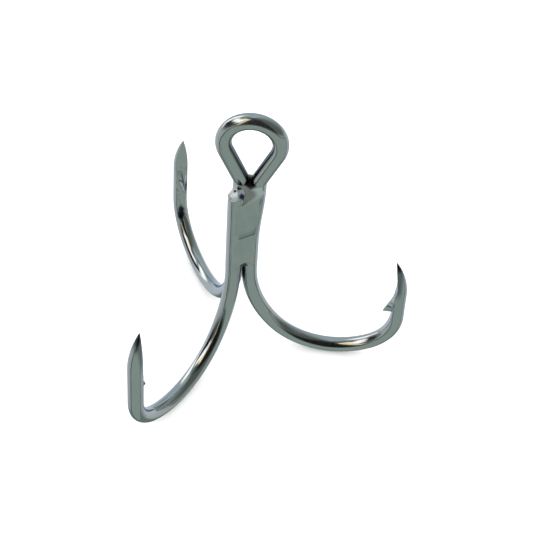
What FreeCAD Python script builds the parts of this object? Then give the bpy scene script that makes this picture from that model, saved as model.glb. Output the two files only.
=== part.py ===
"""Treble fishing hook: a double hook and a single hook of round wire, brazed round one shank.

Frame: millimetres, +Z up along the shank, origin at the centre of the line eye.
+Y is the axis of the eye's hole, and +X points towards the right hook of the double wire.
"""

import FreeCAD, Part
import math
import os
import Sketcher

DIMENSIONS = [
    # alias, value in millimetres or degrees, what it is
    ("wire_diameter", 1.4, "round wire of both hooks"),
    ("shank_spread", 0.85, "from the shank cluster's axis to each wire's centre"),
    ("single_shift", -0.14, "how far the single hook's shank sits off its place, along X"),
    ("right_azimuth", 0.0, "direction the double wire's right hook points"),
    ("left_azimuth", 120.0, "direction the double wire's left hook points"),
    ("single_azimuth", -119.6, "direction the single hook points"),
    ("shank_length", 9.6, "single hook's shank, from the crotch up to its cut end"),
    ("cut_drop", 0.3, "how much lower the cut end is on its outer side"),
    ("sweep_radius", 11.1, "first bend, out of the shank"),
    ("sweep_angle", 40.5, "turn of the first bend"),
    ("bottom_radius", 7.1, "main bend, round the bottom"),
    ("bottom_angle", 81.0, "turn of the main bend"),
    ("front_radius", 4.45, "tightest bend, up to the point"),
    ("front_angle", 61.0, "turn of the tightest bend"),
    ("right_point", 7.2, "straight length of the right hook's point"),
    ("left_point", 8.2, "straight length of the left hook's point"),
    ("single_point", 8.5, "straight length of the single hook's point"),
    ("taper_length", 4.0, "ground part of each point"),
    ("tip_diameter", 0.12, "blunt end left on each point"),
    ("flat_offset", 0.6, "from the wire's centre to the flat ground inside the point, at the tip"),
    ("flat_root", 0.25, "the same at the barb, where the flat is deepest"),
    ("right_barb", 6.5, "from the right hook's tip down to its barb's own tip"),
    ("left_barb", 6.3, "from the left hook's tip down to its barb's own tip"),
    ("single_barb", 7.2, "from the single hook's tip down to its barb's own tip"),
    ("barb_length", 3.55, "from where each barb leaves the wire down to its own tip"),
    ("barb_height", 0.65, "how far the barb stands out from the wire's surface"),
    ("barb_width", 0.46, "thickness of the barb across the hook"),
    ("eye_height", 14.15, "eye centre above the crotch"),
    ("eye_radius", 2.36, "wire centre-line radius of the eye's round top"),
    ("eye_offset_x", 0.45, "eye centre from the cluster's axis, along X"),
    ("eye_offset_y", 0.63, "eye plane from the cluster's axis, along Y"),
    ("neck_drop", 4.3, "from the eye centre down to the neck"),
    ("neck_half_gap", 0.74, "from the eye's middle line to each leg's centre at the neck"),
    ("neck_radius", 1.35, "bend of each leg out of the neck into the eye"),
    ("leg_straight", 3.2, "height above the crotch where the legs start to ease over"),
    ("seam_bottom", 0.5, "height of the seams' bottom end above the crotch"),
    ("seam_top", 9.2, "height of the seams' top end above the crotch"),
    ("crest_height", 0.6, "how far the seams stand out from the line between wire centres"),
    ("fillet_rise", 0.7, "neck braze, from the neck up to its upper end"),
    ("fillet_fall", 0.6, "neck braze, from the neck down to its lower end"),
    ("fillet_depth", 0.95, "neck braze, thickness through the eye's plane"),
]
BENDS = [
    ("sweep_radius", "sweep_angle"),
    ("bottom_radius", "bottom_angle"),
    ("front_radius", "front_angle"),
]
TAPER_STEPS = 4          # stretches between the round sections of a ground point
NECK_SIDES = {"right": 1, "left": -1}          # which side of the eye each leg comes up on
UP = FreeCAD.Vector(0, 0, 1)

doc = FreeCAD.newDocument("treble_hook")
sheet = doc.addObject("Spreadsheet::Sheet", "dims")
for row, (alias, size, meaning) in enumerate(DIMENSIONS, start=1):
    sheet.set(f"A{row}", meaning)
    sheet.set(f"B{row}", str(size))
    sheet.setAlias(f"B{row}", alias)
doc.recompute()
gauge = doc.addObject("App::FeaturePython", "gauge")          # works out expressions for value_of


def value_of(expression):
    """The number that an expression of the sheet's dimensions stands for."""
    return float(gauge.evalExpression(expression))


# ---- expressions for the places that several pieces share ----

def bend_end():
    """Where an arm's last bend ends: distance out, height, and total turn."""
    turned = "0"
    outward = []
    upward = []
    for radius, angle in BENDS:
        after = f"{turned} + dims.{angle}"
        outward.append(f"dims.{radius} * (cos({turned}) - cos({after}))")
        upward.append(f"dims.{radius} * (sin({turned}) - sin({after}))")
        turned = after
    return " + ".join(outward), " + ".join(upward), turned


def point_place(length):
    """A place that is a given length up an arm's straight point: distance out, height, total turn."""
    outward, upward, turned = bend_end()
    return f"{outward} + ({length}) * sin({turned})", f"{upward} - ({length}) * cos({turned})", turned


def wire_foot(wire):
    """A wire's centre at the crotch, from the cluster's axis."""
    across = f"dims.shank_spread * cos(dims.{wire}_azimuth)"
    along = f"dims.shank_spread * sin(dims.{wire}_azimuth)"
    if wire == "single":
        across += " + dims.single_shift"
    return across, along


def leg_shift(wire):
    """How far a leg of the double wire moves over between the crotch and the neck."""
    across, along = wire_foot(wire)
    neck_x = f"dims.eye_offset_x + {NECK_SIDES[wire]} * dims.neck_half_gap"
    return f"({neck_x} - ({across}))", f"(dims.eye_offset_y - ({along}))"


def wire_at(wire, level):
    """A wire's centre at a level above the crotch, from the cluster's axis."""
    across, along = wire_foot(wire)
    if wire == "single":
        return across, along
    shift_x, shift_y = leg_shift(wire)
    risen = (f"max(0; {level} - dims.leg_straight)"
             " / (dims.eye_height - dims.neck_drop - dims.leg_straight)")
    eased = f"(({risen})^2 * (3 - 2 * ({risen})))"
    return f"{across} + {eased} * {shift_x}", f"{along} + {eased} * {shift_y}"


# ---- helpers for sketches and features ----

def bind(target, bindings):
    """Tie properties of an object to expressions."""
    for path, expression in bindings.items():
        target.setExpression(path, expression)


def new_body(name):
    """An empty PartDesign body."""
    return doc.addObject("PartDesign::Body", name)


def turned_about(axis):
    """A placement whose rotation has this axis, so that its angle can be bound."""
    return FreeCAD.Placement(FreeCAD.Vector(), FreeCAD.Rotation(axis, 1))


def new_sketch(body, name, plane):
    """A sketch on one of the body's own origin planes."""
    sketch = body.newObject("Sketcher::SketchObject", name)
    support = next(item for item in body.Origin.OriginFeatures if item.Role == plane)
    sketch.AttachmentSupport = [(support, "")]
    sketch.MapMode = "FlatFace"
    return sketch


def constrain(sketch, kind, *place, name, expression):
    """Add a dimension to a sketch, bound to an expression."""
    start_value = value_of(expression)
    if kind == "Angle":
        start_value = math.radians(start_value)
    index = sketch.addConstraint(Sketcher.Constraint(kind, *place, start_value))
    sketch.renameConstraint(index, name)
    sketch.setExpression(f"Constraints.{name}", expression)


def relate(sketch, kind, *place):
    """Add a geometric constraint to a sketch."""
    sketch.addConstraint(Sketcher.Constraint(kind, *place))


def round_section(sketch, diameter="dims.wire_diameter", across="0"):
    """A circle on the sketch's x axis."""
    centre = FreeCAD.Vector(value_of(across), 0, 0)
    circle = sketch.addGeometry(Part.Circle(centre, UP, value_of(diameter) / 2))
    constrain(sketch, "Diameter", circle, name="diameter", expression=diameter)
    constrain(sketch, "DistanceX", -1, 1, circle, 3, name="across", expression=across)
    relate(sketch, "PointOnObject", circle, 3, -1)


def pin(sketch, line, expressions):
    """Hold the start of a line at a bound place."""
    for kind, expression in zip(("DistanceX", "DistanceY"), expressions):
        constrain(sketch, kind, -1, 1, line, 1, name=f"{kind}_{line}", expression=expression)


def outline(sketch, corners):
    """A closed outline of straight lines with every corner at a bound place."""
    points = [FreeCAD.Vector(value_of(x), value_of(y), 0) for x, y in corners]
    for start, end in zip(points, points[1:] + points[:1]):
        sketch.addGeometry(Part.LineSegment(start, end))
    for line, corner in enumerate(corners):
        relate(sketch, "Coincident", line - 1 if line else len(corners) - 1, 2, line, 1)
        pin(sketch, line, corner)


def bent_path(sketch, start, heading, pieces):
    """Draw a chain of arcs (radius, turn) and straight lines (length, 0), each tangent to the last.

    heading is in degrees from the sketch's x axis, and a positive turn is to the left.
    Returns the index of each piece.
    """
    place = FreeCAD.Vector(*start, 0)
    before = None
    drawn = []
    for size, turn in pieces:
        direction = FreeCAD.Vector(math.cos(math.radians(heading)), math.sin(math.radians(heading)), 0)
        first_point, last_point = (2, 1) if turn < 0 else (1, 2)
        if turn == 0:
            end = place + direction * size
            index = sketch.addGeometry(Part.LineSegment(place, end))
        else:
            side = math.copysign(1, turn)
            centre = place + UP.cross(direction) * side * size
            first_angle = math.radians(heading - 90 * side)
            last_angle = first_angle + math.radians(turn)
            circle = Part.Circle(centre, UP, size)
            index = sketch.addGeometry(Part.ArcOfCircle(circle, *sorted((first_angle, last_angle))))
            end = centre + FreeCAD.Vector(math.cos(last_angle), math.sin(last_angle), 0) * size
        if before is not None:
            relate(sketch, "Tangent", *before, index, first_point)
        before = (index, last_point)
        drawn.append(index)
        place = end
        heading += turn
    return drawn


def sweep(body, name, spine, profile):
    """Sweep a round profile along a sketched path."""
    pipe = body.newObject("PartDesign::AdditivePipe", name)
    pipe.Profile = profile
    pipe.Spine = spine


def loft(body, name, sections, ruled=False):
    """A solid through a row of sketched sections."""
    solid = body.newObject("PartDesign::AdditiveLoft", name)
    solid.Profile = sections[0]
    solid.Sections = sections[1:]
    solid.Ruled = ruled


def through_feature(body, kind, name, sketch, length):
    """A Pad or Pocket that runs equally to both sides of its sketch."""
    feature = body.newObject(f"PartDesign::{kind}", name)
    feature.Profile = sketch
    feature.SideType = "Symmetric"
    feature.Length = value_of(length)
    feature.setExpression("Length", length)


def stand_at_foot(body, wire, azimuth):
    """Place a body at the foot of a wire, turned about +Z to an azimuth."""
    across, along = wire_foot(wire)
    body.Placement = turned_about(UP)
    bind(body, {
        "Placement.Base.x": f"{across} - dims.eye_offset_x",
        "Placement.Base.y": f"{along} - dims.eye_offset_y",
        "Placement.Base.z": "-dims.eye_height",
        "Placement.Rotation.Angle": azimuth,
    })


# ---- one barbed hook ----

def arm_spine(body, wire):
    """The hook's centre line: three bends of falling radius, then the straight of the point."""
    spine = new_sketch(body, f"{wire}_spine", "XZ_Plane")
    straight = f"dims.{wire}_point - dims.taper_length"
    pieces = [(value_of(f"dims.{radius}"), value_of(f"dims.{angle}")) for radius, angle in BENDS]
    drawn = bent_path(spine, (0, 0), -90, pieces + [(value_of(straight), 0)])
    relate(spine, "Coincident", drawn[0], 1, -1, 1)
    relate(spine, "PointOnObject", drawn[0], 3, -1)
    for (radius, angle), index in zip(BENDS, drawn):
        constrain(spine, "Radius", index, name=radius, expression=f"dims.{radius}")
        constrain(spine, "Angle", index, name=angle, expression=f"dims.{angle}")
    constrain(spine, "Distance", drawn[-1], name="straight", expression=straight)
    return spine


def ground_point(body, wire):
    """The ground tip: round sections that shrink ever faster and lean towards the flat inside."""
    sections = []
    for step in range(TAPER_STEPS + 1):
        share = step / TAPER_STEPS
        ground_off = f"(dims.wire_diameter - dims.tip_diameter) * {share}^2"
        section = new_sketch(body, f"{wire}_taper_{step}", "XY_Plane")
        round_section(section, f"dims.wire_diameter - {ground_off}",
                      f"-{ground_off} / dims.wire_diameter * dims.flat_offset")
        outward, upward, turned = point_place(f"dims.{wire}_point - dims.taper_length * {1 - share}")
        section.AttachmentOffset = turned_about(FreeCAD.Vector(0, 1, 0))
        bind(section, {
            "AttachmentOffset.Base.x": outward,
            "AttachmentOffset.Base.z": upward,
            "AttachmentOffset.Rotation.Angle": f"180 - ({turned})",
        })
        sections.append(section)
    loft(body, f"{wire}_taper", sections)


def point_sketch(body, wire, name):
    """A sketch in the hook's plane with its origin at the tip and its y axis along the point."""
    sketch = new_sketch(body, f"{wire}_{name}", "XZ_Plane")
    sketch.AttachmentOffset = turned_about(UP)
    outward, upward, turned = point_place(f"dims.{wire}_point")
    bind(sketch, {
        "AttachmentOffset.Base.x": outward,
        "AttachmentOffset.Base.y": upward,
        "AttachmentOffset.Rotation.Angle": f"{turned} - 180",
    })
    return sketch


def inner_flat(body, wire):
    """The flat ground on the inner side of the point, from the barb up to the tip."""
    sketch = point_sketch(body, wire, "flat_sketch")
    outline(sketch, [
        ("-dims.flat_offset", "dims.wire_diameter"),
        ("-dims.wire_diameter", "dims.wire_diameter"),
        ("-dims.wire_diameter", f"dims.barb_length - dims.{wire}_barb"),
        ("-dims.flat_root", f"dims.barb_length - dims.{wire}_barb"),
        ("-dims.flat_offset", "0"),
    ])
    through_feature(body, "Pocket", f"{wire}_flat", sketch, "2 * dims.wire_diameter")


def barb(body, wire):
    """The barb: a thin wedge raised from the inner side, square underneath."""
    sketch = point_sketch(body, wire, "barb_sketch")
    outline(sketch, [
        ("0", f"dims.barb_length - dims.{wire}_barb"),
        ("-dims.flat_root", f"dims.barb_length - dims.{wire}_barb"),
        ("-dims.wire_diameter / 2 - dims.barb_height", f"-dims.{wire}_barb"),
        ("0", f"-dims.{wire}_barb"),
    ])
    through_feature(body, "Pad", f"{wire}_barb", sketch, "dims.barb_width")


def hook_arm(wire):
    """One barbed hook, from the crotch round to its point, in its own XZ plane."""
    body = new_body(f"{wire}_arm")
    profile = new_sketch(body, f"{wire}_wire", "XY_Plane")
    round_section(profile)
    sweep(body, f"{wire}_bends", arm_spine(body, wire), profile)
    ground_point(body, wire)
    inner_flat(body, wire)
    barb(body, wire)
    stand_at_foot(body, wire, f"dims.{wire}_azimuth")
    return body


# ---- the double hook's legs and eye ----

def easing_leg(wire):
    """A leg of the double wire: straight up from the crotch, then easing over to the neck."""
    shift_x, shift_y = leg_shift(wire)
    shift = f"sqrt({shift_x}^2 + {shift_y}^2)"
    body = new_body(f"{wire}_leg")
    stand_at_foot(body, wire, f"atan2({shift_y}; {shift_x})")
    profile = new_sketch(body, f"{wire}_leg_wire", "XY_Plane")
    round_section(profile)
    straight = value_of("dims.leg_straight")
    rise = value_of("dims.eye_height - dims.neck_drop") - straight
    turn = 2 * math.degrees(math.atan2(value_of(shift), rise))
    radius = rise / (2 * math.sin(math.radians(turn)))
    spine = new_sketch(body, f"{wire}_leg_spine", "XZ_Plane")
    line, lower, upper = bent_path(spine, (0, 0), 90, [(straight, 0), (radius, -turn), (radius, turn)])
    relate(spine, "Coincident", line, 1, -1, 1)
    relate(spine, "Vertical", line)
    relate(spine, "Equal", lower, upper)
    constrain(spine, "Distance", line, name="straight", expression="dims.leg_straight")
    constrain(spine, "DistanceX", -1, 1, upper, 2, name="shift", expression=shift)
    constrain(spine, "DistanceY", -1, 1, upper, 2, name="top", expression="dims.eye_height - dims.neck_drop")
    sweep(body, f"{wire}_leg_pipe", spine, profile)
    return body


def eye_loop():
    """The line eye: out of the neck, round the top and back, in the XZ plane through the origin."""
    body = new_body("eye_loop")
    profile = new_sketch(body, "eye_wire", "XY_Plane")
    profile.setExpression("AttachmentOffset.Base.z", "-dims.neck_drop")
    round_section(profile, across="dims.neck_half_gap")
    neck_radius = value_of("dims.neck_radius")
    eye_radius = value_of("dims.eye_radius")
    rise = value_of("dims.neck_drop")
    half_gap = value_of("dims.neck_half_gap")
    centre_distance = math.hypot(half_gap + neck_radius, rise)
    straight = math.sqrt(centre_distance ** 2 - (eye_radius + neck_radius) ** 2)
    splay = math.degrees(math.atan2(rise, half_gap + neck_radius)
                         - math.atan2(straight, eye_radius + neck_radius))
    spine = new_sketch(body, "eye_spine", "XZ_Plane")
    right_neck, _, crown, _, left_neck = bent_path(spine, (half_gap, -rise), 90, [
        (neck_radius, -splay),
        (straight, 0),
        (eye_radius, 180 + 2 * splay),
        (straight, 0),
        (neck_radius, -splay),
    ])
    relate(spine, "Coincident", crown, 3, -1, 1)
    relate(spine, "Horizontal", right_neck, 2, right_neck, 3)
    relate(spine, "Symmetric", right_neck, 2, left_neck, 1, -2)
    relate(spine, "Equal", right_neck, left_neck)
    constrain(spine, "Radius", right_neck, name="neck", expression="dims.neck_radius")
    constrain(spine, "Radius", crown, name="crown", expression="dims.eye_radius")
    constrain(spine, "DistanceX", -1, 1, right_neck, 2, name="half_gap", expression="dims.neck_half_gap")
    constrain(spine, "DistanceY", -1, 1, right_neck, 2, name="drop", expression="-dims.neck_drop")
    sweep(body, "eye", spine, profile)
    return body


def double_hook():
    """One wire with two hooks and the eye between them."""
    hook = doc.addObject("Part::MultiFuse", "double_hook")
    hook.Shapes = [hook_arm("right"), hook_arm("left"), easing_leg("right"), easing_leg("left"), eye_loop()]
    return hook


# ---- the single hook ----

def single_hook():
    """The shorter wire: the third hook with its straight shank, cut at a slant that faces outwards."""
    body = hook_arm("single")
    circle = new_sketch(body, "shank_wire", "XY_Plane")
    round_section(circle)
    shank = body.newObject("PartDesign::Pad", "shank")
    shank.Profile = circle
    shank.setExpression("Length", "dims.shank_length")
    slant = new_sketch(body, "cut_sketch", "XZ_Plane")
    outline(slant, [
        ("-dims.wire_diameter", "dims.shank_length + dims.cut_drop"),
        ("-dims.wire_diameter", "dims.shank_length"),
        ("0", "dims.shank_length"),
        ("dims.wire_diameter", "dims.shank_length - 2 * dims.cut_drop"),
        ("dims.wire_diameter", "dims.shank_length + dims.cut_drop"),
    ])
    through_feature(body, "Pocket", "cut_end", slant, "2 * dims.wire_diameter")
    body.Label = "single_hook"
    return body


# ---- the braze between the wires ----

def level_sketch(body, name, level):
    """A horizontal sketch at a level above the crotch, with its origin on the cluster's axis."""
    sketch = new_sketch(body, name, "XY_Plane")
    bind(sketch, {
        "AttachmentOffset.Base.x": "-dims.eye_offset_x",
        "AttachmentOffset.Base.y": "-dims.eye_offset_y",
        "AttachmentOffset.Base.z": f"{level} - dims.eye_height",
    })
    return sketch


def valley_section(sketch, first, second):
    """The rectangle between two wire centres and the crest line outside them."""
    start = FreeCAD.Vector(*map(value_of, first), 0)
    end = FreeCAD.Vector(*map(value_of, second), 0)
    outward = (end - start).cross(UP).normalize() * value_of("dims.crest_height")
    corners = [start, start + outward, end + outward, end]
    for corner, following in zip(corners, corners[1:] + corners[:1]):
        sketch.addGeometry(Part.LineSegment(corner, following))
    for line in range(4):
        relate(sketch, "Coincident", line, 2, (line + 1) % 4, 1)
    pin(sketch, 0, first)
    pin(sketch, 3, second)
    relate(sketch, "Perpendicular", 0, 3)
    relate(sketch, "Perpendicular", 2, 3)
    relate(sketch, "Parallel", 1, 3)
    constrain(sketch, "Distance", 0, name="crest", expression="dims.crest_height")


def cut_by_wires(body, label, hooks):
    """What is left of a body between the wires."""
    rest = body
    for hook in hooks:
        cut = doc.addObject("Part::Cut", f"{label}_less_{hook.Name}")
        cut.Base = rest
        cut.Tool = hook
        rest = cut
    rest.Label = label
    return rest


def braze(label, wires, hooks):
    """Braze drawn up between two wires (their outer valley) or three (the core between them)."""
    body = new_body(f"{label}_fill")
    sections = []
    levels = {"bottom": "dims.seam_bottom", "middle": "dims.leg_straight", "top": "dims.seam_top"}
    for name, level in levels.items():
        sketch = level_sketch(body, f"{label}_{name}", level)
        centres = [wire_at(wire, level) for wire in wires]
        if len(wires) == 2:
            valley_section(sketch, *centres)
        else:
            outline(sketch, centres)
        sections.append(sketch)
    loft(body, f"{label}_loft", sections, ruled=True)
    return cut_by_wires(body, label, hooks)


def neck_braze(hooks):
    """The fillet that closes the narrow V under the eye's hole."""
    body = new_body("neck_fill")
    sketch = new_sketch(body, "neck_sketch", "XZ_Plane")
    outline(sketch, [
        ("-dims.neck_half_gap", "-dims.neck_drop - dims.fillet_fall"),
        ("dims.neck_half_gap", "-dims.neck_drop - dims.fillet_fall"),
        ("dims.neck_half_gap", "-dims.neck_drop + dims.fillet_rise"),
        ("-dims.neck_half_gap", "-dims.neck_drop + dims.fillet_rise"),
    ])
    through_feature(body, "Pad", "neck_web", sketch, "dims.fillet_depth")
    return cut_by_wires(body, "neck_braze", hooks)


def check_and_export(nodes):
    """Refuse a failed feature or a bad shape, then write one STEP file per piece."""
    for item in doc.Objects:
        if {"Invalid", "Error"} & set(item.State):
            raise RuntimeError(f"{item.Name} failed: {item.State}")
    for node in nodes:
        if node.Shape.isNull() or not node.Shape.isValid():
            raise RuntimeError(f"{node.Label} has a bad shape")
    os.makedirs("parts", exist_ok=True)
    for node in nodes:
        node.Shape.exportStep(f"parts/{node.Label}.step")
        size = node.Shape.optimalBoundingBox(False)
        print(f"{node.Label}: {len(node.Shape.Solids)} solid(s), {node.Shape.Volume:.2f} mm3, "
              f"x {size.XMin:.2f} {size.XMax:.2f}, y {size.YMin:.2f} {size.YMax:.2f}, "
              f"z {size.ZMin:.2f} {size.ZMax:.2f}")


wires = [double_hook(), single_hook()]
pieces = wires + [
    braze("front_braze_seam", ("single", "right"), wires),
    braze("right_braze_seam", ("right", "left"), wires),
    braze("left_braze_seam", ("left", "single"), wires),
    braze("core_braze", ("single", "right", "left"), wires),
    neck_braze(wires[:1]),
]
doc.recompute()
check_and_export(pieces)
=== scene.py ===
"""Looks of the treble hook: bright nickel-plated wire, ground points, lifted barbs and brazed shank.

Lengths are in millimetres until a mesh is made. The frame is the CAD's: origin at the centre of the
line eye, +Z up along the shank, +Y along the eye's hole, +X towards the right hook.
"""

import math

import bmesh
import bpy
import numpy as np
from mathutils import Matrix, Vector


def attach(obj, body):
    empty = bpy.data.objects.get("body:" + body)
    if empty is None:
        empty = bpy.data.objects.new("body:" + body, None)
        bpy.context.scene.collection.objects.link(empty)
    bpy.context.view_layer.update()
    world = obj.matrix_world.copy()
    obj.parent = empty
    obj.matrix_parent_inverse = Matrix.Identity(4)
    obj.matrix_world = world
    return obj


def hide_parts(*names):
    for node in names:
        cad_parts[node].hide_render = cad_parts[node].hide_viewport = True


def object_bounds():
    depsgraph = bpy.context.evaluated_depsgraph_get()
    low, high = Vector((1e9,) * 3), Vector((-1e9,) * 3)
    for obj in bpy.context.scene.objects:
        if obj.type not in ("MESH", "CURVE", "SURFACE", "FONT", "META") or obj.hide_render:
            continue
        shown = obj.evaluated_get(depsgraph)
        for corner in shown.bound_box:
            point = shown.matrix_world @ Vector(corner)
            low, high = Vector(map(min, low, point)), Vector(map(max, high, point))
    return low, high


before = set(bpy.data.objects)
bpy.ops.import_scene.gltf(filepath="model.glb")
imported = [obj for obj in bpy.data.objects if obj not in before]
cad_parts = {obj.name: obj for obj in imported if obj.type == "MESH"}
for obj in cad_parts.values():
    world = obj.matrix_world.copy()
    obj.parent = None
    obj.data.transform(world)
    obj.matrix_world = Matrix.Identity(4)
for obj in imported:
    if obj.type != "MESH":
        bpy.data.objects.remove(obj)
cad_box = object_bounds()

MILLIMETRE = 0.001

# ---- driving dimensions of the wires, the same as the CAD's ----
WIRE = 0.7                        # radius
SHANK_SPREAD = 0.85               # cluster axis to a wire's centre
SINGLE_SHIFT = -0.14              # the single hook's shank sits this much further left
AZIMUTH = {"right": 0.0, "left": 120.0, "single": -119.6}
BENDS = ((11.1, 40.5), (7.1, 81.0), (4.45, 61.0))          # radius, turn in degrees
POINT_LENGTH = {"right": 7.2, "left": 8.2, "single": 8.5}
SHANK_TOP = 9.6                   # single hook's cut end above the crotch
EYE_HEIGHT = 14.15                # eye centre above the crotch
EYE_OFFSET = (0.45, 0.63)         # eye centre from the cluster's axis
EYE_RADIUS = 2.36
NECK_DROP = 4.3
NECK_HALF_GAP = 0.74
NECK_RADIUS = 1.35
LEG_STRAIGHT = 3.2

# ---- the ground point and the barb, measured from the tip down the wire ----
TAPER_LENGTH = 4.0
TIP_RADIUS = 0.04
FLAT_AT_TIP = 0.57                # wire's centre to the flat ground inside the point
FLAT_AT_ROOT = 0.23               # the same where the barb leaves the wire
CHISEL_END = 9.4                  # where the chisel's cut under the barb runs out
BARB_TIP = {"right": 6.5, "left": 6.3, "single": 7.2}
BARB_LENGTH = 3.6
BARB_STAND = 1.34                 # barb's tip from the wire's centre
BARB_FOOT = 0.40                  # where the barb's square underside meets the wire
BARB_BASE = 0.05                  # the barb's hidden base, from the wire's centre
BARB_RIDGE = 0.05                 # half width of the ridge at the barb's tip
BARB_RINGS = 33

SIDES = 64                        # facets round the wire
STEP = 0.14                       # ring spacing along the bends
FINE_STEP = 0.05                  # ring spacing on the ground points

UP = np.array([0.0, 0.0, 1.0])
CROTCH = np.array([-EYE_OFFSET[0], -EYE_OFFSET[1], -EYE_HEIGHT])          # on the cluster's axis


def smooth(value, low, high):
    """0 below low, 1 above high, easing between."""
    share = np.clip((value - low) / (high - low), 0, 1)
    return share * share * (3 - 2 * share)


# ---- centre lines ----

def radial(azimuth):
    """Unit vector outwards from the shank at an azimuth in degrees."""
    turn = math.radians(azimuth)
    return np.array([math.cos(turn), math.sin(turn), 0.0])


def foot(wire):
    """A wire's centre at the crotch."""
    place = CROTCH + SHANK_SPREAD * radial(AZIMUTH[wire])
    if wire == "single":
        place = place + np.array([SINGLE_SHIFT, 0.0, 0.0])
    return place


def chain(start, heading, pieces, step):
    """Walk along arcs (radius, turn) and lines (length, 0) in a plane; positive turns go left.

    Returns the places and the headings in radians, spaced about one step apart.
    """
    place = np.array(start, float)
    heading = math.radians(heading)
    places = [place.copy()]
    headings = [heading]
    for size, turn in pieces:
        turn = math.radians(turn)
        length = size * abs(turn) if turn else size
        count = max(2, round(length / step))
        for _ in range(count):
            part = turn / count
            chord = 2 * size * math.sin(abs(part) / 2) if turn else size / count
            middle = heading + part / 2
            place = place + chord * np.array([math.cos(middle), math.sin(middle)])
            heading += part
            places.append(place.copy())
            headings.append(heading)
    return np.array(places), np.array(headings)


def in_plane(origin, across, places, headings, side):
    """Lift a plane walk to space: centres, tangents and the left (1) or right (-1) normals."""
    centres = origin + np.outer(places[:, 0], across) + np.outer(places[:, 1], UP)
    tangents = np.outer(np.cos(headings), across) + np.outer(np.sin(headings), UP)
    normals = side * (np.outer(-np.sin(headings), across) + np.outer(np.cos(headings), UP))
    return centres, tangents, normals


def arm_line(wire):
    """From the crotch round to the tip. The normals point to the inner side of the bend."""
    straight = POINT_LENGTH[wire] - TAPER_LENGTH
    places, headings = chain((0, 0), -90, BENDS + ((straight, 0),), STEP)
    tip_heading = math.degrees(headings[-1])
    tip_places, tip_headings = chain(places[-1], tip_heading, ((TAPER_LENGTH, 0),), FINE_STEP)
    places = np.vstack([places, tip_places[1:]])
    headings = np.concatenate([headings, tip_headings[1:]])
    return in_plane(foot(wire), radial(AZIMUTH[wire]), places, headings, 1)


def leg_line(wire, neck_side):
    """From the crotch up to the neck: straight, then easing over in a shallow S."""
    start = foot(wire)
    neck = np.array([neck_side * NECK_HALF_GAP, 0.0, start[2]])
    shift = neck - start
    distance = np.linalg.norm(shift)
    across = shift / distance
    rise = EYE_HEIGHT - NECK_DROP - LEG_STRAIGHT
    turn = 2 * math.degrees(math.atan2(distance, rise))
    radius = rise / (2 * math.sin(math.radians(turn)))
    places, headings = chain((0, 0), 90, ((LEG_STRAIGHT, 0), (radius, -turn), (radius, turn)), STEP)
    centres, tangents, _ = in_plane(start, across, places, headings, 1)
    share = np.linspace(0, 1, len(places))[:, None]
    end_azimuth = 0.0 if neck_side > 0 else 180.0
    turned = AZIMUTH[wire] + (end_azimuth - AZIMUTH[wire]) * share[:, 0]
    normals = np.array([radial(angle) for angle in turned])
    normals -= tangents * np.sum(normals * tangents, axis=1)[:, None]
    normals /= np.linalg.norm(normals, axis=1)[:, None]
    return centres, tangents, normals


def eye_line():
    """From the right side of the neck, over the top, to the left side of the neck."""
    across = NECK_HALF_GAP + NECK_RADIUS
    reach = math.hypot(across, NECK_DROP)
    both_radii = EYE_RADIUS + NECK_RADIUS
    splay = math.degrees(math.atan2(NECK_DROP, across) - math.acos(both_radii / reach))
    straight = math.sqrt(reach ** 2 - both_radii ** 2)
    pieces = ((NECK_RADIUS, -splay), (straight, 0), (EYE_RADIUS, 180 + 2 * splay), (straight, 0),
              (NECK_RADIUS, -splay))
    places, headings = chain((NECK_HALF_GAP, -NECK_DROP), 90, pieces, STEP)
    return in_plane(np.zeros(3), np.array([1.0, 0.0, 0.0]), places, headings, -1)


def backwards(line):
    """The same centre line walked from its other end."""
    centres, tangents, normals = line
    return centres[::-1], -tangents[::-1], normals[::-1]


def joined(lines):
    """Centre lines end to end, with each shared ring kept once."""
    kept = [lines[0]] + [tuple(part[1:] for part in line) for line in lines[1:]]
    return tuple(np.vstack(parts) for parts in zip(*kept))


def lengths_along(centres):
    """Distance along a centre line at each of its places."""
    return np.concatenate([[0.0], np.cumsum(np.linalg.norm(np.diff(centres, axis=0), axis=1))])


# ---- meshes ----

def set_values(item, name, kind, values):
    """Store one value or one vector at every vertex of a mesh."""
    field = "vector" if kind == "FLOAT_VECTOR" else "value"
    attribute = item.data.attributes.new(name, kind, "POINT")
    attribute.data.foreach_set(field, np.asarray(values, np.float32).ravel())


def make_object(name, vertices, faces):
    """A mesh object from vertices in millimetres."""
    mesh = bpy.data.meshes.new(name)
    mesh.from_pydata((np.asarray(vertices) * MILLIMETRE).tolist(), [], faces)
    mesh.validate()
    mesh.update()
    item = bpy.data.objects.new(name, mesh)
    bpy.context.scene.collection.objects.link(item)
    return item


def tube_faces(rings, sides):
    """Quads of a tube made of closed rings, with a fan to one middle vertex at each end."""
    faces = []
    for ring in range(rings - 1):
        low = ring * sides
        for side in range(sides):
            following = (side + 1) % sides
            faces.append((low + side, low + following, low + sides + following, low + sides + side))
    first_middle = rings * sides
    last = (rings - 1) * sides
    for side in range(sides):
        following = (side + 1) % sides
        faces.append((first_middle, following, side))
        faces.append((first_middle + 1, last + side, last + following))
    return faces


def tube(name, rings):
    """A closed tube through an array of rings (ring, side, xyz)."""
    count, sides, _ = rings.shape
    middles = [rings[0].mean(axis=0), rings[-1].mean(axis=0)]
    vertices = np.vstack([rings.reshape(-1, 3), middles])
    return make_object(name, vertices, tube_faces(count, sides))


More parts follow.
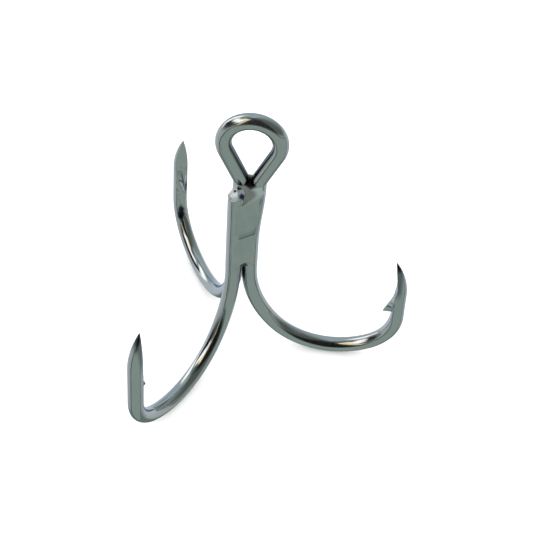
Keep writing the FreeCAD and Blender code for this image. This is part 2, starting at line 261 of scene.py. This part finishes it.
def wire_rings(line, tip_distance, barb_tip):
    """Round sections along a centre line, ground thinner and flatter towards the tips.

    The flat inside the point is deepest at the barb's root, and the chisel's cut climbs out from there.
    """
    centres, tangents, normals = line
    sideways = np.cross(tangents, normals)
    share = np.clip(1 - tip_distance / TAPER_LENGTH, 0, 1)
    radii = WIRE - (WIRE - TIP_RADIUS) * share ** 2
    lean = (WIRE - radii) / WIRE * FLAT_AT_TIP
    angles = np.linspace(0, 2 * math.pi, SIDES, endpoint=False)
    inward = lean[:, None] + radii[:, None] * np.cos(angles)
    root = barb_tip - BARB_LENGTH
    ground = FLAT_AT_TIP - (FLAT_AT_TIP - FLAT_AT_ROOT) * tip_distance / root
    cut = FLAT_AT_ROOT + (WIRE - FLAT_AT_ROOT) * (tip_distance - root) / (CHISEL_END - root)
    inward = np.minimum(inward, np.maximum(ground, cut)[:, None])
    across = radii[:, None] * np.sin(angles)
    return (centres[:, None] + inward[..., None] * normals[:, None] + across[..., None] * sideways[:, None])


def boolean(base, tool, operation):
    """Apply a boolean of two closed meshes and drop the tool."""
    modifier = base.modifiers.new(operation, "BOOLEAN")
    modifier.operation = operation
    modifier.solver = "MANIFOLD"
    modifier.object = tool
    shaped = bpy.data.meshes.new_from_object(base.evaluated_get(bpy.context.evaluated_depsgraph_get()))
    base.modifiers.clear()
    base.data = shaped
    bpy.data.objects.remove(tool)


def point_frame(wire):
    """Tip, direction down the wire, inner direction and sideways direction of a hook's point."""
    centres, tangents, normals = arm_line(wire)
    return centres[-1], -tangents[-1], normals[-1], np.cross(tangents[-1], normals[-1])


def place_in_point(wire, down, inward, sideways):
    """Turn coordinates of the point's own frame into places in the row frame."""
    tip, down_axis, in_axis, side_axis = point_frame(wire)
    return (tip + np.multiply.outer(down, down_axis) + np.multiply.outer(inward, in_axis)
            + np.multiply.outer(sideways, side_axis))


def barb(wire):
    """The lifted sliver: wide and thin at its root, a narrow ridge at its own tip, square underneath."""
    rings = []
    for share in np.linspace(0, 1, BARB_RINGS):
        lifted = (BARB_STAND - FLAT_AT_ROOT) * (0.42 * share ** 1.6 + 0.9 * share ** 2 - 0.32 * share ** 4)
        crest = FLAT_AT_ROOT - 0.05 + lifted + 0.05 * share
        crest_half = 0.42 * (1 - share) ** 1.3 + BARB_RIDGE
        flank_half = 0.62 - 0.26 * share - 0.2 * share ** 4
        flank = min(FLAT_AT_ROOT - 0.04 + 0.48 * share, crest - 0.01)
        shoulder = crest - 0.35 * crest_half * smooth(share, 0.0, 0.4)
        half_widths = np.array([0.5 * flank_half, flank_half, flank_half,
                                0.5 * (flank_half + crest_half), crest_half])
        sideways = np.concatenate([-half_widths, [0], half_widths[::-1]])
        flank_inward = np.array([BARB_BASE, 0.5 * (BARB_BASE + flank), flank,
                                 0.5 * (flank + shoulder), shoulder])
        inward = np.concatenate([flank_inward, [crest], flank_inward[::-1]])
        lift = np.clip((inward - BARB_FOOT) / (BARB_STAND - BARB_FOOT), 0, 1)
        down = BARB_TIP[wire] + BARB_LENGTH * (share - 1) - 0.1 * share * (1 - lift)
        rings.append(place_in_point(wire, down, inward, sideways))
    return tube(f"barb_{wire}", np.array(rings))


def recalculate_normals(item):
    """Point every face of a closed mesh outwards."""
    shell = bmesh.new()
    shell.from_mesh(item.data)
    bmesh.ops.recalc_face_normals(shell, faces=shell.faces)
    shell.to_mesh(item.data)
    shell.free()


def heights_between(low, high, step, close_to=(), fine=0.03, reach=0.35):
    """Ring heights, a step apart and finer near chosen heights."""
    heights = list(np.arange(low, high, step)) + [high]
    for height in close_to:
        heights += list(np.arange(max(low, height - reach), min(high, height + reach), fine))
    heights = sorted(set(round(height, 4) for height in heights))
    kept = [heights[0]]
    for height in heights[1:]:
        if height - kept[-1] > fine / 2:
            kept.append(height)
    return np.array(kept)


def leg_centre(wire, neck_side):
    """A function giving a leg's centre (x, y) at a height above the crotch."""
    centres, _, _ = leg_line(wire, neck_side)
    heights = centres[:, 2] - CROTCH[2]

    def centre(height):
        return np.array([np.interp(height, heights, centres[:, axis]) for axis in (0, 1)])
    return centre


def easing_to_leg(leg, low, high):
    """A function for the single hook's straight shank that eases over to a leg between two heights."""
    shank = foot("single")[:2]

    def centre(height):
        return shank + (leg(height) - shank) * smooth(height, low, high)
    return centre


# ---- braze skins ----

FILM = 0.02                       # braze over the wire where the skin leaves it
FEATHER = 52.0                    # degrees of wire that the film runs over beyond the tangent line
FILM_SINK = 0.012                 # depth of the film's edge under the wire's surface
SKIN_POINTS = 22                  # across the flat of a seam
FEATHER_POINTS = 14
SKIN_BACK = 0.25                  # hidden side of a seam, behind the line between the wires' centres
SEAM_BOTTOM = 0.75                # lower end of the seams above the crotch
WEB_RISE = 0.55                   # height of the arch at a seam's lower end
END_STRETCH = 1.6                 # length at each end over which the arch or the dip flattens out
END_ROUNDING = 0.3                # length at each end over which the skin rolls inwards
END_SINK = 0.38                   # how far it rolls in
SHOULDER = 9.0                    # height above the crotch where the braze turns satin


def skin_outline(start, end):
    """A seam's outer side in plan, and how far across the gap each of its points lies, 0 to 1."""
    gap = np.linalg.norm(end - start)
    along = (end - start) / gap
    outward = np.array([along[1], -along[0]])
    angles = np.radians(np.linspace(FEATHER, 0, FEATHER_POINTS))
    film = -FILM_SINK + (FILM + FILM_SINK) * smooth(np.linspace(0, 1, FEATHER_POINTS), 0, 1)
    reach = (WIRE + film)[:, None]
    ahead = np.outer(np.cos(angles), outward)
    aside = np.outer(np.sin(angles), along)
    shares = np.linspace(0, 1, SKIN_POINTS + 2)[1:-1]
    skin = start + (WIRE + FILM) * outward + np.outer(shares * gap, along)
    outer = np.vstack([start + reach * (ahead - aside), skin, (end + reach * (ahead + aside))[::-1]])
    return outer, (outer - start) @ along / gap, outward, gap


def lap_stand(height, place, step):
    """How far the skin stands out round a lap: a groove just under it, then a step that fades upwards."""
    edge = smooth(height, place - 0.012, place + 0.05)
    fade = smooth(height, place + 0.3, place + 2.6)
    groove = smooth(height, place - 0.12, place - 0.02) * (1 - smooth(height, place - 0.012, place + 0.02))
    return step * (edge - 0.45 * fade - 1.2 * groove)


def lap_shade(height, place, across):
    """Painted shade along a lap: a dark line in the groove and a faint shade above it."""
    line = (1 - smooth(abs(height - place + 0.03), 0.015, 0.08)) * smooth(across, -0.1, 0.2)
    shade = smooth(height, place, place + 0.04) * (1 - smooth(height, place + 0.1, place + 0.8))
    return 0.95 * line + 0.25 * shade


def seam(name, first, second, top, crown_drop=0.3, top_sink=END_SINK, lap=None):
    """The braze skin between two wires: a closed piece flush with the line tangent to both.

    The bottom edge is an arch between the wires and the top edge a shallow dip. A lap is (height at the
    first wire, slope, step): above it the skin stands prouder, where the braze froze over itself.
    """
    length = top - SEAM_BOTTOM
    near = [0.0, length]
    if lap:
        lap_place, lap_slope, lap_step = lap
        near.append(lap_place - SEAM_BOTTOM)
    rings = []
    painted_shade = []
    satin = []
    for level in heights_between(0, length, 0.2, near, 0.025, 0.4):
        height = SEAM_BOTTOM + level
        start, end = first(height), second(height)
        outer, across, outward, gap = skin_outline(start, end)
        middle = np.clip(1 - (2 * across - 1) ** 2, 0, 1)
        from_end = np.clip(np.minimum(level, length - level) / END_ROUNDING, 0, 1)
        sink = END_SINK if level < length / 2 else top_sink
        rounding = 1 - np.sqrt(np.clip(1 - (1 - from_end) ** 2, 0, 1))
        recess = sink * rounding * smooth(middle, 0, 0.9)
        arch = WEB_RISE * middle * (1 - smooth(level, 0, END_STRETCH))
        dip = crown_drop * middle * smooth(level, length - END_STRETCH, length)
        z = CROTCH[2] + height + (arch - dip)
        # painted shade along the middle of the seam's lower edge, down in the crotch
        seam_shade = smooth(middle, 0.1, 0.9) * (1 - smooth(level, 0.03, 0.2))
        if lap:
            z = z + lap_slope * across * gap * (1 - smooth(abs(height - lap_place), 0.6, 2.5))
            recess = recess - lap_stand(height, lap_place, lap_step) * smooth(middle, 0, 0.5)
            # painted shade along the lap as well
            seam_shade = np.maximum(seam_shade, lap_shade(height, lap_place, across) * smooth(middle, 0, 0.3))
        ring = np.column_stack([outer - recess[:, None] * outward, z])
        hidden = [np.append(end - SKIN_BACK * outward, z[-1]), np.append(start - SKIN_BACK * outward, z[0])]
        rings.append(np.vstack([ring, hidden]))
        painted_shade.append(np.concatenate([seam_shade, [0, 0]]))
        satin.append(np.full(len(ring) + 2, smooth(height, SHOULDER - 0.5, SHOULDER + 0.3)))
    item = tube(name, np.array(rings))
    set_values(item, "painted_shade", "FLOAT", np.concatenate(painted_shade + [[0, 0]]))
    set_values(item, "satin", "FLOAT", np.concatenate(satin + [[0, 1]]))
    return item


# ---- the pieces ----

def build_double_hook():
    """The right and left hooks are one wire, bent round to make the line eye."""
    line = joined([backwards(arm_line("right")), leg_line("right", 1), eye_line(),
                   backwards(leg_line("left", -1)), arm_line("left")])
    along = lengths_along(line[0])
    nearer_right = along < along[-1] / 2
    barb_tips = np.where(nearer_right, BARB_TIP["right"], BARB_TIP["left"])
    item = tube("double_hook_wire", wire_rings(line, np.minimum(along, along[-1] - along), barb_tips))
    recalculate_normals(item)
    for wire in ("right", "left"):
        add_barb(item, wire)
    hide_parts("double_hook")
    return item, line


def add_barb(item, wire):
    """Join a lifted barb to its wire."""
    lifted = barb(wire)
    recalculate_normals(lifted)
    boolean(item, lifted, "UNION")


def build_single_hook():
    """The third hook, brazed into the cluster and cut off below the eye."""
    arm = backwards(arm_line("single"))
    start = foot("single")
    heights = np.arange(STEP, SHANK_TOP + 0.8, STEP)
    centres = start + np.outer(heights, UP)
    shank = (centres, np.tile(UP, (len(heights), 1)), np.tile(radial(AZIMUTH["single"]), (len(heights), 1)))
    line = tuple(np.vstack(parts) for parts in zip(arm, shank))
    item = tube("single_hook_wire", wire_rings(line, lengths_along(line[0]), BARB_TIP["single"]))
    recalculate_normals(item)
    add_barb(item, "single")
    cut_shank(item)
    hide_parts("single_hook")
    return item, line


SHADED_TIPS = {"right": 1.0, "left": 0.0, "single": 0.85}       # how much painted shade darkens each point towards its tip
BATCH = 4000                      # vertices that look for their nearest ring at a time


def lay_out_wire(item, line, ends):
    """Give each vertex its place along and round its wire, and its painted shade.

    ends are the hooks whose points are at the line's start and end, or None for a cut end.
    """
    centres, tangents, normals = line
    along = lengths_along(centres)
    vertices = np.empty(len(item.data.vertices) * 3)
    item.data.vertices.foreach_get("co", vertices)
    vertices = vertices.reshape(-1, 3) / MILLIMETRE
    nearest = np.concatenate([
        np.argmin(((batch[:, None] - centres) ** 2).sum(axis=2), axis=1)
        for batch in np.array_split(vertices, 1 + len(vertices) // BATCH)
    ])
    offset = vertices - centres[nearest]
    ahead = np.sum(offset * tangents[nearest], axis=1)
    inward = np.sum(offset * normals[nearest], axis=1)
    aside = np.sum(offset * np.cross(tangents, normals)[nearest], axis=1)
    from_start = along[nearest] + ahead
    set_values(item, "wire_place", "FLOAT_VECTOR", np.column_stack([inward, aside, from_start]))
    # painted shade round the lower part of the eye's hole, on the wire's inner side
    in_eye = vertices[:, 2] > -NECK_DROP
    hidden_side = smooth(-inward, 0.42, 0.6) * (1 - smooth(vertices[:, 2], -0.5, 1.0))
    painted_shade = 0.7 * in_eye * hidden_side
    # painted shade at each point's tip and in a band up its inner side
    for wire, from_tip in zip(ends, (from_start, along[-1] - from_start)):
        if wire:
            tip = 1 - smooth(from_tip, 0.5, 1.9)
            band = 0.62 * (1 - smooth(from_tip, 2.9, 4.6)) * smooth(inward, -0.35, 0.05)
            painted_shade = np.maximum(painted_shade, SHADED_TIPS[wire] * np.maximum(tip, band))
    set_values(item, "painted_shade", "FLOAT", painted_shade)


def slab_above(name, place, normal):
    """A thick slab that fills the space above a slanted plane."""
    normal = np.array(normal, float) / np.linalg.norm(normal)
    across = np.cross(normal, [0.0, 1.0, 0.0])
    across /= np.linalg.norm(across)
    along = np.cross(normal, across)
    size = 2.5
    corners = [(-size, -size), (size, -size), (size, size), (-size, size)]
    rings = [[place + right * across + forward * along + height * normal for right, forward in corners]
             for height in (0.0, size)]
    item = tube(name, np.array(rings))
    recalculate_normals(item)
    return item


def cut_shank(item):
    """The cutter's two bevels, which meet in a ridge across the shank's end."""
    top = foot("single") + SHANK_TOP * UP
    ridge = top + np.array([0.1, 0.0, 0.1])
    for number, normal in enumerate(((-0.5, -0.26, 0.83), (0.14, -0.2, 0.97))):
        boolean(item, slab_above(f"bevel_{number}", ridge, normal), "DIFFERENCE")


def build_seams():
    """The three brazed valleys between the wires."""
    right = leg_centre("right", 1)
    left = leg_centre("left", -1)

    front = seam("front_seam", easing_to_leg(left, 8.7, 9.85), right, 10.0, crown_drop=0, top_sink=0.05,
                 lap=(4.8, 0.093, 0.05))
    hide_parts("front_braze_seam")
    back = seam("right_seam", right, left, 9.9)
    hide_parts("right_braze_seam")
    side = seam("left_seam", left, easing_to_leg(left, 9.2, 10.3), 9.35)
    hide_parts("left_braze_seam")
    return front, back, side


def neck_centre(height):
    """Distance of each leg's centre from the eye's middle line at a height, above or below the neck."""
    centres, _, _ = eye_line()
    first = centres[:len(centres) // 4]
    return np.interp(height, first[:, 2], first[:, 0])


def build_neck():
    """The fillet that closes the V under the eye, with a deep pocket left open at its front.

    Its outline runs up the front, over the saddle and down the back, and is repeated across the gap.
    """
    front = [(-0.71, -5.5), (-0.71, -5.0), (-0.71, -4.8), (-0.7, -4.68), (-0.66, -4.61), (-0.58, -4.57),
             (-0.48, -4.58), (-0.38, -4.64), (-0.3, -4.7), (-0.24, -4.66), (-0.19, -4.4), (-0.17, -4.1),
             (-0.16, -3.8), (-0.12, -3.56), (0.0, -3.46)]
    back = [(0.12, -3.5), (0.24, -3.64), (0.35, -3.82), (0.45, -4.05), (0.54, -4.3), (0.6, -4.6),
            (0.64, -4.9), (0.64, -5.5)]
    profile = np.array(front + back)
    rings = []
    for share in np.linspace(-1, 1, 21):
        flush = profile[:, 0] < -0.55
        depths = profile[:, 0] + 0.05 * share ** 2 * flush
        heights = profile[:, 1] + 0.4 * share ** 2 * ~flush
        rings.append(np.column_stack([share * neck_centre(heights), depths, heights]))
    item = tube("neck_fill", np.array(rings))
    # painted shade in the pocket left open at the fillet's front
    pocket = smooth(profile[:, 0], -0.64, -0.56) * (1 - smooth(profile[:, 0], -0.15, -0.05))
    set_values(item, "painted_shade", "FLOAT", np.concatenate([np.tile(pocket, len(rings)), [0, 0]]))
    set_values(item, "satin", "FLOAT", np.ones(len(item.data.vertices)))
    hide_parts("neck_braze")
    return item


def finish_surface(item):
    """Smooth shading with crisp edges, riding on the part's one body."""
    item.data.shade_smooth()
    item.data.set_sharp_from_angle(angle=math.radians(20))
    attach(item, "root")


double_wire, double_line = build_double_hook()
single_wire, single_line = build_single_hook()
lay_out_wire(double_wire, double_line, ("right", "left"))
lay_out_wire(single_wire, single_line, ("single", None))
brazed = build_seams() + (build_neck(),)
for piece in brazed:
    recalculate_normals(piece)
for piece in (double_wire, single_wire) + brazed:
    finish_surface(piece)


# ---- camera ----

AIM = Vector((2.029, -0.470, -14.178)) * MILLIMETRE
DISTANCE = 105.03 * MILLIMETRE
VIEW_AZIMUTH, VIEW_ELEVATION, VIEW_ROLL = (math.radians(angle) for angle in (2.371, 47.57, 4.32))

camera_data = bpy.data.cameras.new("camera")
camera_data.lens = 78.3
camera_data.sensor_width = 36
camera = bpy.data.objects.new("camera", camera_data)
bpy.context.scene.collection.objects.link(camera)
backward = Vector((math.sin(VIEW_AZIMUTH) * math.cos(VIEW_ELEVATION),
                   -math.cos(VIEW_AZIMUTH) * math.cos(VIEW_ELEVATION), math.sin(VIEW_ELEVATION)))
camera.location = AIM + DISTANCE * backward
camera.rotation_euler = (backward.to_track_quat("Z", "Y").to_matrix()
                         @ Matrix.Rotation(VIEW_ROLL, 3, "Z")).to_euler()
bpy.context.scene.camera = camera
camera_data.clip_start = MILLIMETRE


# ---- materials ----

METAL = 0.6                       # how bright the plating shows what it mirrors
RAGGED = 0.3                      # how far the edge of a painted shade spot wanders


def linear(red, green, blue):
    """A shown colour, 0 to 255, as the light that gives it."""
    return tuple(((part / 255 + 0.055) / 1.055) ** 2.4 for part in (red, green, blue))


def surroundings(red, green, blue):
    """Light that shows as this colour in the plating."""
    return tuple(part / METAL for part in linear(red, green, blue))


class Nodes:
    """Short ways to add and join shader nodes."""

    def __init__(self, tree):
        self.tree = tree

    def add(self, kind, **settings):
        node = self.tree.nodes.new(kind)
        for name, value in settings.items():
            setattr(node, name, value)
        return node

    def plug(self, socket, value):
        """A value goes in as it is, and another node's output is joined up."""
        if isinstance(value, bpy.types.NodeSocket):
            self.tree.links.new(value, socket)
        elif isinstance(value, (tuple, list)) and len(value) == 3 and len(socket.default_value) == 4:
            socket.default_value = (*value, 1)
        else:
            socket.default_value = value

    def math(self, operation, *values):
        node = self.add("ShaderNodeMath", operation=operation)
        for socket, value in zip(node.inputs, values):
            self.plug(socket, value)
        return node.outputs[0]

    def mix(self, share, first, second):
        """Colour from first to second."""
        node = self.add("ShaderNodeMix", data_type="RGBA")
        for name, value in ((0, share), (6, first), (7, second)):
            self.plug(node.inputs[name], value)
        return node.outputs[2]

    def noise(self, place, stretch, scale, detail):
        """Smooth noise, about 0 to 1, over a stretched place. A stretch of 1000 turns metres to mm."""
        stretched = self.add("ShaderNodeVectorMath", operation="MULTIPLY")
        self.plug(stretched.inputs[0], place)
        stretched.inputs[1].default_value = stretch
        noise = self.add("ShaderNodeTexNoise")
        self.plug(noise.inputs["Vector"], stretched.outputs[0])
        noise.inputs["Scale"].default_value = scale
        noise.inputs["Detail"].default_value = detail
        return noise.outputs["Fac"]

    def spot(self, place, centre, reach):
        """1 inside a ragged ellipsoid in millimetres, fading out over its last half."""
        ragged = self.add("ShaderNodeTexNoise")
        self.plug(ragged.inputs["Vector"], place)
        ragged.inputs["Scale"].default_value = 3 / MILLIMETRE
        ragged.inputs["Detail"].default_value = 1
        pushed = self.add("ShaderNodeVectorMath", operation="MULTIPLY_ADD")
        self.plug(pushed.inputs[0], ragged.outputs["Color"])
        pushed.inputs[1].default_value = [RAGGED * MILLIMETRE] * 3
        self.plug(pushed.inputs[2], place)
        centre = [value + RAGGED / 2 for value in centre]
        apart = self.add("ShaderNodeVectorMath", operation="SUBTRACT")
        self.plug(apart.inputs[0], pushed.outputs[0])
        apart.inputs[1].default_value = [value * MILLIMETRE for value in centre]
        scaled = self.add("ShaderNodeVectorMath", operation="DIVIDE")
        self.plug(scaled.inputs[0], apart.outputs[0])
        scaled.inputs[1].default_value = [value * MILLIMETRE for value in reach]
        distance = self.add("ShaderNodeVectorMath", operation="LENGTH")
        self.plug(distance.inputs[0], scaled.outputs[0])
        return self.math("SUBTRACT", 1.0, self.ease(distance.outputs["Value"], 0.5, 1.15))

    def bump(self, height, depth, normal=None):
        """A surface that rises this many millimetres from height 0 to height 1."""
        bump = self.add("ShaderNodeBump")
        self.plug(bump.inputs["Height"], height)
        bump.inputs["Distance"].default_value = depth * MILLIMETRE
        if normal is not None:
            self.plug(bump.inputs["Normal"], normal)
        return bump.outputs["Normal"]

    def ease(self, value, low, high):
        """0 below low, 1 above high."""
        node = self.add("ShaderNodeMapRange", interpolation_type="SMOOTHSTEP")
        self.plug(node.inputs["Value"], value)
        node.inputs["From Min"].default_value = low
        node.inputs["From Max"].default_value = high
        return node.outputs["Result"]


def plating(name, roughness):
    """A metallic material to build on: its nodes and its shader."""
    material = bpy.data.materials.new(name)
    material.use_nodes = True
    nodes = Nodes(material.node_tree)
    shader = material.node_tree.nodes["Principled BSDF"]
    shader.inputs["Metallic"].default_value = 1
    shader.inputs["Specular Tint"].default_value = (0.78, 0.81, 0.9, 1)
    return material, nodes, shader


# Painted shade and dark reflections in the hollows and crevices: centre and reach
SHADE_SPOTS = (
    ((0.05, -0.48, -4.12), (0.6, 0.5, 0.52)),          # the pit under the eye
    ((-0.48, -1.6, -4.62), (0.36, 0.36, 0.32)),        # the broken corner of the cut end
    ((-1.15, -1.1, -4.5), (0.22, 0.16, 0.2)),          # the cut end's far edge
    ((-0.3, -1.1, -14.7), (0.4, 0.7, 1.4)),            # the facing sides of the arms at the crotch
    ((-7.3, 11.75, -16.9), (0.26, 0.4, 1.0)),          # beside the left hook's barb
    ((-7.6, 11.3, -20.3), (0.42, 0.42, 1.3)),          # where the left hook's point meets its bend
)


def plated_wire():
    """Bright nickel over drawn wire: lines along it, soft waves, small pits and a little patina."""
    material, nodes, shader = plating("plated_wire", 0.1)
    place = nodes.add("ShaderNodeAttribute", attribute_name="wire_place").outputs["Vector"]
    patina = nodes.noise(place, (1, 1, 0.5), 0.5, 3)
    drawn = nodes.noise(place, (1, 1, 0.06), 9.0, 2)
    waves = nodes.noise(place, (0.8, 0.8, 0.45), 0.9, 1)
    pits = nodes.ease(nodes.noise(place, (1, 1, 1), 11.0, 2), 0.70, 0.78)
    painted_shade = nodes.add("ShaderNodeAttribute", attribute_name="painted_shade").outputs["Fac"]
    spot_place = nodes.add("ShaderNodeTexCoord").outputs["Object"]
    for centre, reach in SHADE_SPOTS:
        painted_shade = nodes.math("MAXIMUM", painted_shade, nodes.spot(spot_place, centre, reach))
    base = nodes.mix(patina, (0.57, 0.577, 0.58), (0.63, 0.624, 0.61))
    base = nodes.mix(nodes.math("MULTIPLY", pits, 0.5), base, (0.3, 0.29, 0.27))
    # painted shade: the plating turns blue-black on the eye's inner side, at the tips and in the shade
    # spots
    nodes.plug(shader.inputs["Base Color"], nodes.mix(painted_shade, base, (0.03, 0.034, 0.06)))
    height = nodes.add("ShaderNodeSeparateXYZ")
    nodes.plug(height.inputs[0], spot_place)
    dull_eye = nodes.ease(height.outputs[2], -4 * MILLIMETRE, 1 * MILLIMETRE)
    scuffed = nodes.math("MULTIPLY_ADD", drawn, 0.05, nodes.math("MULTIPLY_ADD", dull_eye, 0.05, 0.065))
    nodes.plug(shader.inputs["Roughness"], nodes.math("MULTIPLY_ADD", pits, 0.12, scuffed))
    normal = nodes.bump(waves, 0.02)
    normal = nodes.bump(drawn, 0.0012, normal)
    nodes.plug(shader.inputs["Normal"], nodes.bump(nodes.math("SUBTRACT", 1.0, pits), 0.003, normal))
    return material


def plated_braze():
    """The same plating over braze: mottled, a little rough like orange peel, with painted shade in its
    hollows.
    """
    material, nodes, shader = plating("plated_braze", 0.14)
    place = nodes.add("ShaderNodeTexCoord").outputs["Object"]
    painted_shade = nodes.add("ShaderNodeAttribute", attribute_name="painted_shade").outputs["Fac"]
    satin = nodes.add("ShaderNodeAttribute", attribute_name="satin").outputs["Fac"]
    mottle = nodes.ease(nodes.noise(place, (1000, 1000, 600), 1.2, 4), 0.3, 0.7)
    peel = nodes.noise(place, (1000, 1000, 1000), 5.0, 2)
    waves = nodes.noise(place, (1000, 1000, 500), 0.8, 1)
    base = nodes.mix(mottle, (0.53, 0.55, 0.56), (0.62, 0.61, 0.58))
    base = nodes.mix(satin, base, (0.79, 0.83, 0.81))
    for centre, reach in SHADE_SPOTS[:2]:
        painted_shade = nodes.math("MAXIMUM", painted_shade, nodes.spot(place, centre, reach))
    # painted shade: near black along the laps, in the crotch and in the neck's pocket
    nodes.plug(shader.inputs["Base Color"], nodes.mix(painted_shade, base, (0.035, 0.03, 0.028)))
    rough = nodes.math("MULTIPLY_ADD", mottle, 0.05, 0.08)
    rough = nodes.math("MULTIPLY_ADD", satin, 0.32, rough)
    nodes.plug(shader.inputs["Roughness"], nodes.math("MULTIPLY_ADD", painted_shade, 0.3, rough))
    nodes.plug(shader.inputs["Normal"], nodes.bump(peel, 0.0015, nodes.bump(waves, 0.02)))
    return material


def paint(items, material):
    """One material on each object."""
    for item in items:
        item.data.materials.clear()
        item.data.materials.append(material)


# ---- studio ----

STUDIO_WHITE = (1.7, 1.7, 1.7)
# What stands round the hook and shows in its plating: name, colour, azimuth from behind towards the right,
# elevation, half width, half height, softness of the edge and lean, all in degrees
CARDS = (
    ("table below", (100, 112, 100), 0, -84, 360, 28, 16, 0),
    ("table edge", (58, 64, 63), 168, -48, 71, 41, 4, 26),
    ("table", (123, 137, 132), 166, -49, 63, 40, 4, 26),
    ("back wall", (136, 152, 158), -18, 36, 30, 44, 44, 0),
    ("dark front", (8, 8, 8), 169, 32, 31, 39, 22, 0),
    ("lamp", (240, 222, 176), -135, 58, 22, 6, 9, 0),
    ("lamp side", (240, 222, 176), -154, 32, 3, 26, 6, 0),
    ("window", (255, 255, 255), -112, 39, 34, 13, 10, 0),
    ("window side", (252, 255, 255), -57, 25, 14, 25, 14, -24),
    ("doorway", (14, 13, 30), -98, 20, 29, 13, 12, 0),
)


def studio():
    """White all round for the floor and the camera; the plating mirrors the room below."""
    world = bpy.data.worlds.new("studio")
    bpy.context.scene.world = world
    world.use_nodes = True
    nodes = Nodes(world.node_tree)
    world.node_tree.nodes.clear()
    split = nodes.add("ShaderNodeSeparateXYZ")
    nodes.plug(split.inputs[0], nodes.add("ShaderNodeTexCoord").outputs["Generated"])
    x, y, z = split.outputs
    azimuth = nodes.math("MULTIPLY", nodes.math("ARCTAN2", x, y), 180 / math.pi)
    elevation = nodes.math("MULTIPLY", nodes.math("ARCSINE", z), 180 / math.pi)
    behind = nodes.math("ABSOLUTE", nodes.math("WRAP", nodes.math("ADD", azimuth, 10.0), 180.0, -180.0))
    paper = nodes.mix(nodes.ease(behind, 15, 115), surroundings(176, 184, 188), surroundings(140, 149, 148))
    room = nodes.mix(nodes.ease(behind, 0, 110), surroundings(144, 158, 162), surroundings(70, 78, 73))
    light = nodes.mix(nodes.ease(elevation, -12, 8), paper, room)
    for _, colour, across, height, half_width, half_height, soft, tilt in CARDS:
        aside = nodes.math("WRAP", nodes.math("SUBTRACT", azimuth, float(across)), 180.0, -180.0)
        rise = nodes.math("SUBTRACT", elevation, float(height))
        lean = math.tan(math.radians(tilt))
        aside = nodes.math("ADD", aside, nodes.math("MULTIPLY", rise, lean))
        reach = nodes.math("SUBTRACT", nodes.math("ABSOLUTE", aside), float(half_width))
        climb = nodes.math("SUBTRACT", nodes.math("ABSOLUTE", rise), float(half_height))
        outside = nodes.math("MAXIMUM", reach, climb)
        cover = nodes.math("SUBTRACT", 1.0, nodes.ease(outside, -soft / 2, soft / 2))
        light = nodes.mix(cover, light, surroundings(*colour))
    path = nodes.add("ShaderNodeLightPath")
    seen = nodes.mix(path.outputs["Is Glossy Ray"], STUDIO_WHITE, light)
    background = nodes.add("ShaderNodeBackground")
    nodes.plug(background.inputs["Color"], seen)
    nodes.plug(nodes.add("ShaderNodeOutputWorld").inputs[0], background.outputs[0])


def lay_floor():
    """A plain pale floor under the hook. The plating mirrors the room instead."""
    size = 0.4
    lowest = cad_box[0][2]
    mesh = bpy.data.meshes.new("floor")
    mesh.from_pydata([(-size, -size, lowest), (size, -size, lowest), (size, size, lowest),
                      (-size, size, lowest)], [], [(0, 1, 2, 3)])
    floor = bpy.data.objects.new("floor", mesh)
    bpy.context.scene.collection.objects.link(floor)
    material = bpy.data.materials.new("pale_floor")
    material.use_nodes = True
    nodes = Nodes(material.node_tree)
    shader = material.node_tree.nodes["Principled BSDF"]
    place = nodes.add("ShaderNodeTexCoord").outputs["Object"]
    grain = nodes.noise(place, (1000, 1000, 1000), 0.3, 3)
    nodes.plug(shader.inputs["Base Color"], nodes.mix(grain, (0.93, 0.93, 0.93), (0.95, 0.95, 0.95)))
    shader.inputs["Roughness"].default_value = 1
    shader.inputs["Specular IOR Level"].default_value = 0
    paint([floor], material)
    floor.visible_glossy = False


paint((double_wire, single_wire), plated_wire())
paint(brazed + (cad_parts["core_braze"],), plated_braze())
lay_floor()
studio()
bpy.context.scene.view_settings.view_transform = "Standard"
